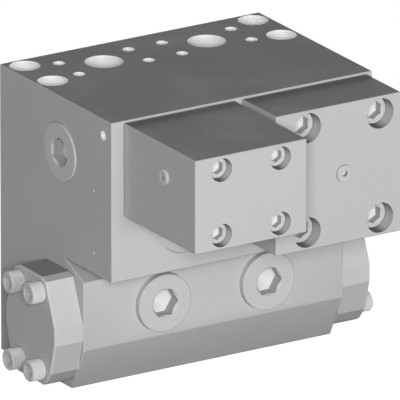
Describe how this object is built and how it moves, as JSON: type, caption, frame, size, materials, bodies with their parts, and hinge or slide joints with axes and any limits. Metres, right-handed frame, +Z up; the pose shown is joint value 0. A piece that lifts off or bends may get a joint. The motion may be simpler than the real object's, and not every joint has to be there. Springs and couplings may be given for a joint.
{
  "type": "counterbalance valve",
  "caption": "Hydraulic counterbalance valve with flanged motor ports, a spring-centred spool between end covers, check valves behind screw plugs, and bolted relief and brake blocks.",
  "frame": {"origin": "middle of the four motor screw holes, in the top face that the motor flange sits on", "axes": "+Z up out of the motor face, X along the body and its spool, the front with the two blocks faces -Y"},
  "size_m": [0.328, 0.285, 0.248],
  "materials": {
    "body_iron": "machined, oiled",
    "block_steel": "milled",
    "cover_steel": "milled",
    "screw_steel": "zinc plated",
    "plug_steel": "zinc plated",
    "hardened_steel": "ground",
    "spring_steel": "oil tempered",
    "seal_rubber": "matte"
  },
  "bodies": {
    "valve": {"brake_block": "block_steel", "brake_block_screws": "screw_steel", "brake_block_seals": "seal_rubber", "brake_end_plug": "plug_steel", "brake_end_plug_seal": "seal_rubber", "brake_gauge_plug": "plug_steel", "brake_spring": "spring_steel", "left_check_plug": "plug_steel", "left_check_plug_seal": "seal_rubber", "left_check_spring": "spring_steel", "left_cover": "cover_steel", "left_cover_screws": "screw_steel", "left_cover_seal": "seal_rubber", "left_lower_plug": "plug_steel", "left_lower_plug_seal": "seal_rubber", "left_main_spring": "spring_steel", "left_makeup_plug": "plug_steel", "left_makeup_plug_seal": "seal_rubber", "left_makeup_spring": "spring_steel", "left_relief_seat": "hardened_steel", "left_relief_spring": "spring_steel", "relief_block": "block_steel", "relief_block_screws": "screw_steel", "relief_block_seals": "seal_rubber", "relief_gallery_plug": "plug_steel", "relief_gauge_plug": "plug_steel", "right_check_plug": "plug_steel", "right_check_plug_seal": "seal_rubber", "right_check_spring": "spring_steel", "right_cover": "cover_steel", "right_cover_screws": "screw_steel", "right_cover_seal": "seal_rubber", "right_lower_plug": "plug_steel", "right_lower_plug_seal": "seal_rubber", "right_main_spring": "spring_steel", "right_makeup_plug": "plug_steel", "right_makeup_plug_seal": "seal_rubber", "right_makeup_spring": "spring_steel", "right_relief_seat": "hardened_steel", "right_relief_spring": "spring_steel", "small_plug_seals": "seal_rubber", "valve_body": "body_iron"},
    "spool": {"main_spool": "hardened_steel", "left_spring_seat": "hardened_steel", "right_spring_seat": "hardened_steel"},
    "left_check": {"left_check_poppet": "hardened_steel"},
    "right_check": {"right_check_poppet": "hardened_steel"},
    "left_makeup": {"left_makeup_poppet": "hardened_steel"},
    "right_makeup": {"right_makeup_poppet": "hardened_steel"},
    "left_relief": {"left_relief_poppet": "hardened_steel"},
    "right_relief": {"right_relief_poppet": "hardened_steel"},
    "brake_reducer": {"brake_spool": "hardened_steel"}
  },
  "joints": [
    {"name": "spool_slide", "type": "slide", "parent": "valve", "child": "spool", "axis": [1, 0, 0], "range_m": [-0.008, 0.008], "stiffness_N_per_m": 20000, "deforming": ["left_main_spring", "right_main_spring"]},
    {"name": "left_check_lift", "type": "slide", "parent": "valve", "child": "left_check", "axis": [0, -1, 0], "range_m": [0, 0.006], "stiffness_N_per_m": 1500, "springref_m": -0.008, "deforming": ["left_check_spring"]},
    {"name": "right_check_lift", "type": "slide", "parent": "valve", "child": "right_check", "axis": [0, -1, 0], "range_m": [0, 0.006], "stiffness_N_per_m": 1500, "springref_m": -0.008, "deforming": ["right_check_spring"]},
    {"name": "left_makeup_lift", "type": "slide", "parent": "valve", "child": "left_makeup", "axis": [-1, 0, 0], "range_m": [0, 0.006], "stiffness_N_per_m": 1500, "springref_m": -0.008, "deforming": ["left_makeup_spring"]},
    {"name": "right_makeup_lift", "type": "slide", "parent": "valve", "child": "right_makeup", "axis": [1, 0, 0], "range_m": [0, 0.006], "stiffness_N_per_m": 1500, "springref_m": -0.008, "deforming": ["right_makeup_spring"]},
    {"name": "left_relief_lift", "type": "slide", "parent": "valve", "child": "left_relief", "axis": [0, -1, 0], "range_m": [0, 0.0025], "stiffness_N_per_m": 8000, "springref_m": -0.01, "deforming": ["left_relief_spring"]},
    {"name": "right_relief_lift", "type": "slide", "parent": "valve", "child": "right_relief", "axis": [0, -1, 0], "range_m": [0, 0.0025], "stiffness_N_per_m": 8000, "springref_m": -0.01, "deforming": ["right_relief_spring"]},
    {"name": "brake_spool_slide", "type": "slide", "parent": "valve", "child": "brake_reducer", "axis": [0, 0, -1], "range_m": [0, 0.004], "stiffness_N_per_m": 3000, "springref_m": -0.006, "deforming": ["brake_spring"]}
  ]
}
